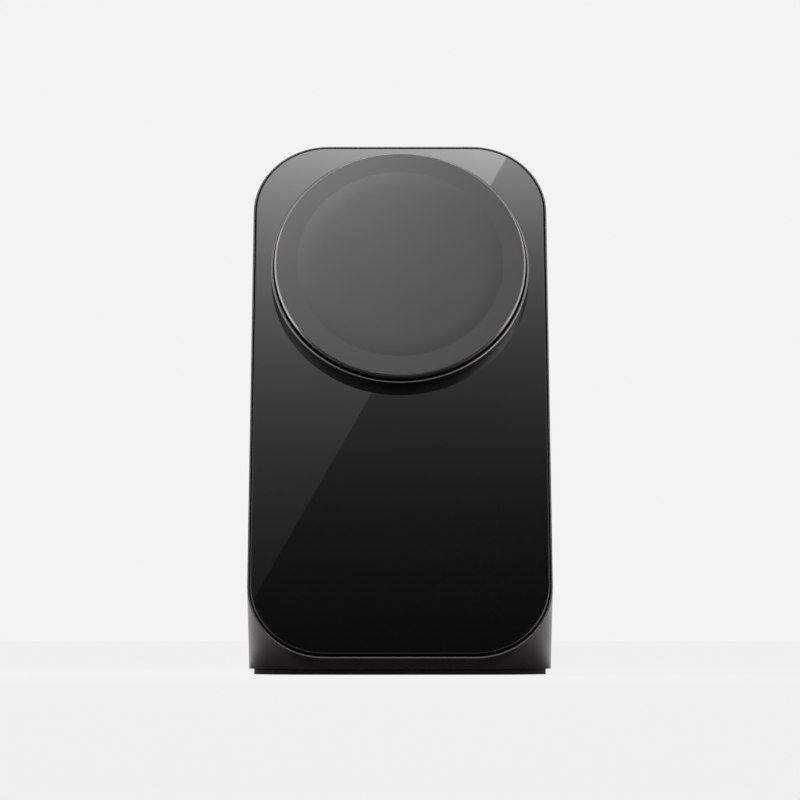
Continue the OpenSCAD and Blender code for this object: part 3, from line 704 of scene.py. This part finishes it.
def add_painted_floor_shade():
    """Painted shade on the floor, a dark glowing sheet that only polished faces mirror: close round the toe,
    and a wedge before it.
    """
    shade_sheet, tree = stage_sheet("painted floor shade", (FLOOR_SHADE_SIZE, FLOOR_SHADE_SIZE), (0, 0, FLOOR_SHADE_Z))
    point = add_node(tree, "ShaderNodeTexCoord").outputs["Object"]
    split = add_node(tree, "ShaderNodeSeparateXYZ", {0: point})
    near = add_node(tree, "ShaderNodeMapRange", {
        "Value": toe_reach(tree, split), "From Min": SOLE_R + FLOOR_SHADE_NEAR, "From Max": SOLE_R + FLOOR_SHADE_FAR,
        "To Min": 1.0, "To Max": 0.0}, interpolation_type="SMOOTHERSTEP")
    half = add_node(tree, "ShaderNodeMath", {
        0: split.outputs["Y"], 1: -WEDGE_SPREAD, 2: WEDGE_HALF + TOE_Y * WEDGE_SPREAD},
        operation="MULTIPLY_ADD")
    across = add_node(tree, "ShaderNodeMath", {0: split.outputs["X"]}, operation="ABSOLUTE")
    inside = add_node(tree, "ShaderNodeMath", {0: half, 1: across}, operation="SUBTRACT")
    wedge = add_node(tree, "ShaderNodeMapRange", {
        "Value": inside, "From Min": -WEDGE_SOFT, "From Max": WEDGE_SOFT}, interpolation_type="SMOOTHSTEP")
    before = add_node(tree, "ShaderNodeMath", {0: split.outputs["Y"], 1: TOE_Y}, operation="LESS_THAN")
    wedge = add_node(tree, "ShaderNodeMath", {0: wedge, 1: before}, operation="MULTIPLY")
    share = add_node(tree, "ShaderNodeMath", {0: near, 1: wedge}, operation="MAXIMUM")
    # Where the share is full, a dark glow painted as the floor's shade; elsewhere the sheet is clear
    clear = add_node(tree, "ShaderNodeBsdfTransparent")
    dark = add_node(tree, "ShaderNodeEmission", {"Strength": FLOOR_SHADE_GLOW})
    mix = add_node(tree, "ShaderNodeMixShader", {0: share, 1: clear, 2: dark})
    add_node(tree, "ShaderNodeOutputMaterial", {"Surface": mix})
    shade_sheet.visible_camera = False
    shade_sheet.visible_diffuse = False
    shade_sheet.visible_shadow = False


# Lights, in metres, watts and degrees: a lamp close above the pad's upper left, tall upright sheets beside
# the stand, and low ones that lean back before it. The two of a pair mirror each other.
KEY_PLACE = (-0.064, -0.0015, 0.197)
KEY_TARGET = (0, -0.009, 0.09)
KEY_SIZE = (0.06, 0.03)
KEY_POWER = 0.59
TALL_SHEET = (0.95, 0.8)
TALL_X, TALL_Y, TALL_Z = 0.8, -0.025, 0.4
LOW_SHEET = (0.34, 0.5)
LOW_X, LOW_Y, LOW_Z = 0.39, -0.74, 0.43
LOW_TILT, LOW_TURN = 68, 28
LOW_FADE = 0.3


def light_sheet(name, size, place, turn_degrees, glow, fade=0.0):
    """A glowing sheet that only polished faces see. With a fade, its lower edge dims to the background."""
    sheet, tree = stage_sheet(name, size, place, turn_degrees)
    light = add_node(tree, "ShaderNodeEmission", {"Strength": glow})
    if fade:
        point = add_node(tree, "ShaderNodeTexCoord").outputs["Object"]
        split = add_node(tree, "ShaderNodeSeparateXYZ", {0: point})
        foot = -size[1] / 2
        ramp = add_node(tree, "ShaderNodeMapRange", {
            "Value": split.outputs["Y"], "From Min": foot, "From Max": foot + fade,
            "To Min": 1.0, "To Max": glow}, interpolation_type="SMOOTHSTEP")
        tree.links.new(ramp.outputs["Result"], light.inputs["Strength"])
    add_node(tree, "ShaderNodeOutputMaterial", {"Surface": light})
    sheet.visible_camera = False
    sheet.visible_diffuse = False


def add_key_lamp():
    """The lamp that lights the soft face and the floor. Polished faces don't mirror it."""
    data = bpy.data.lights.new("key", "AREA")
    data.shape = "RECTANGLE"
    data.size, data.size_y = KEY_SIZE
    data.energy = KEY_POWER
    lamp = bpy.data.objects.new("key", data)
    lamp.location = KEY_PLACE
    aim = Vector(KEY_TARGET) - Vector(KEY_PLACE)
    lamp.rotation_euler = aim.to_track_quat("-Z", "Y").to_euler()
    lamp.visible_glossy = False
    bpy.context.scene.collection.objects.link(lamp)


def add_lights():
    """The lamp and the sheets. The tall sheet at the left and the low one at the right are the brighter."""
    add_key_lamp()
    for name, side, glow in (("left sheet", -1, 1.55), ("right sheet", 1, 1.25)):
        place = (side * TALL_X, TALL_Y, TALL_Z)
        light_sheet(name, TALL_SHEET, place, (90, 0, -90 * side), glow)
    for name, side, glow in (("low left sheet", -1, 2.4), ("low right sheet", 1, 5.5)):
        place = (side * LOW_X, LOW_Y, LOW_Z)
        light_sheet(name, LOW_SHEET, place, (LOW_TILT, 0, LOW_TURN * side), glow, LOW_FADE)


add_camera()
dress_stand()
add_world()
add_floor()
add_card()
add_painted_floor_shade()
add_lights()

scene_view = bpy.context.scene.view_settings
scene_view.view_transform = "Standard"
